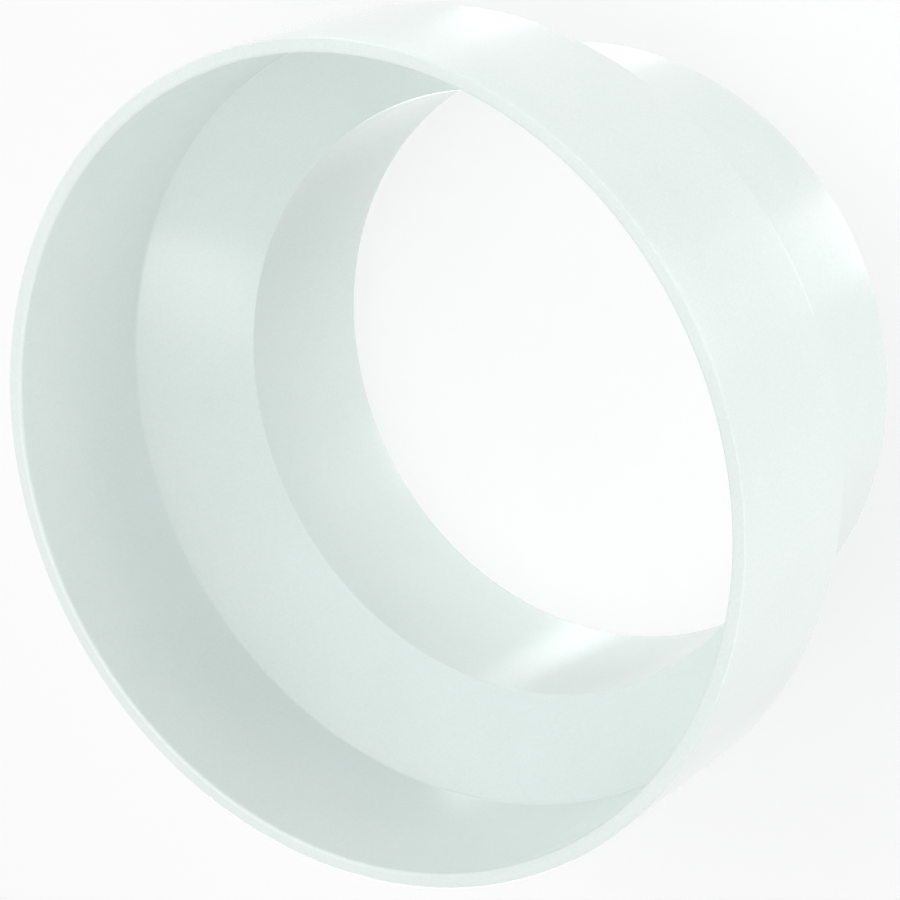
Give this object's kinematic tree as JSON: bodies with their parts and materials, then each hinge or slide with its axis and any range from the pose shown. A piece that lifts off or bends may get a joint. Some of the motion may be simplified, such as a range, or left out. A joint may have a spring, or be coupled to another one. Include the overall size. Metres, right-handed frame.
{
  "type": "duct reducer",
  "caption": "Round white plastic duct reducer: a wide collar, a short conical shoulder and a narrow collar in one moulding, open right through.",
  "frame": {"origin": "on the axis, in the plane of the narrow collar's rim, on which the fitting stands", "axes": "+Z along the axis, from the narrow collar up to the wide one"},
  "size_m": [0.1244, 0.1244, 0.071],
  "materials": {
    "white_plastic": "semi-gloss moulded plastic, cool white"
  },
  "bodies": {
    "root": {"reducer": "white_plastic"}
  },
  "joints": []
}
